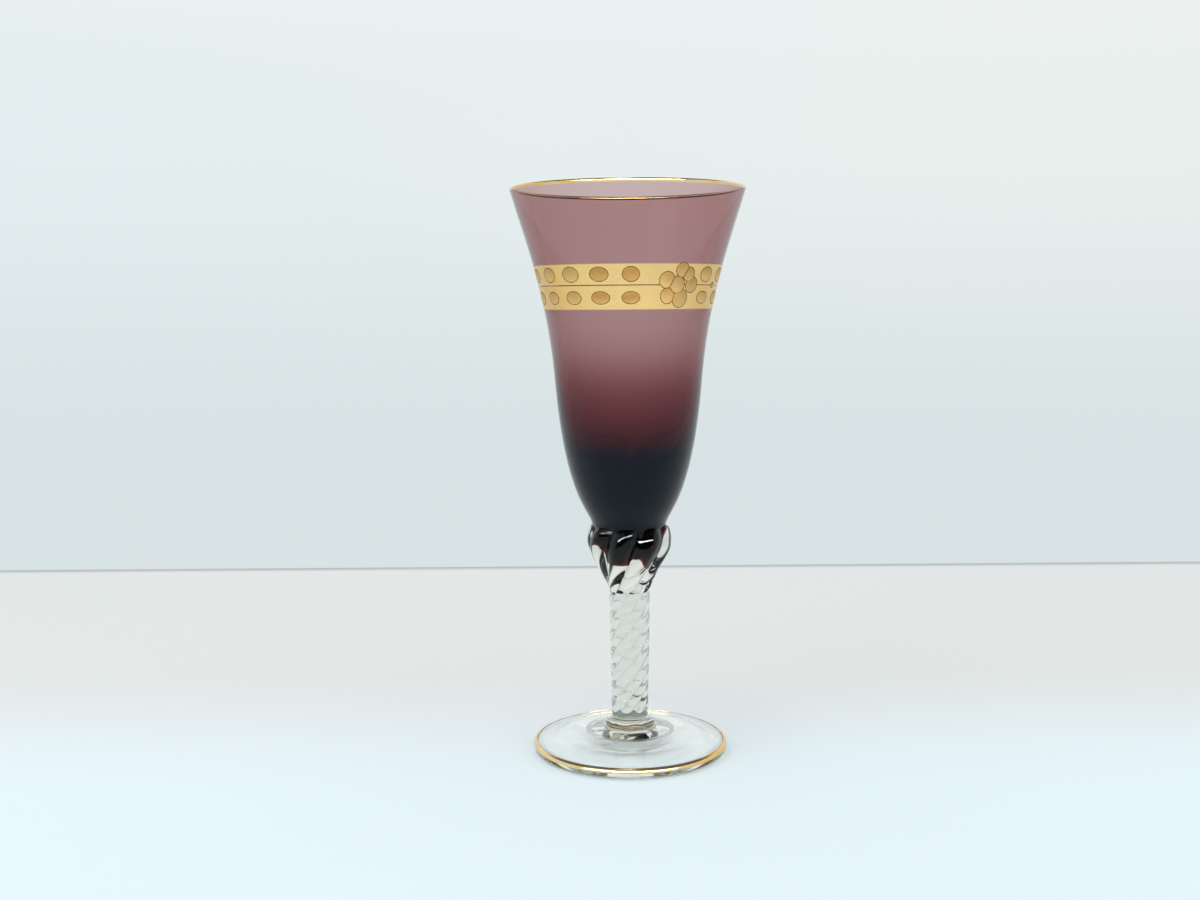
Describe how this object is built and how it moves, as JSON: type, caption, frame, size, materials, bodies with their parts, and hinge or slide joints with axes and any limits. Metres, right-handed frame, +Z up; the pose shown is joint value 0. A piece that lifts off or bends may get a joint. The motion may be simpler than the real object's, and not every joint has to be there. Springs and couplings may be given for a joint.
{
  "type": "stemmed glass",
  "caption": "Tall stemmed glass: flared amethyst bowl with a gold band of ovals and a flower, clear twisted ribbed knop and stem, clear round foot with a gold edge.",
  "frame": {"origin": "middle of the ring that the foot stands on, at table height", "axes": "+Z up the stem to the lip; -Y towards the viewer of the pictured side; the flower is at 60 degrees from +X towards -Y"},
  "size_m": [0.082, 0.082, 0.2],
  "materials": {
    "clear_glass": "fire polished",
    "amethyst_glass": "fire polished",
    "bright_gold": "burnished gilding",
    "matte_gold": "matte gilding"
  },
  "bodies": {
    "root": {"foot": "clear_glass", "foot_gilding": "bright_gold", "foot_collar": "clear_glass", "stem": "clear_glass", "knop": "clear_glass", "bowl": "amethyst_glass", "lip_gilding": "bright_gold", "band_gilding": "bright_gold", "band_ovals": "matte_gold", "band_flower": "matte_gold"}
  },
  "joints": []
}
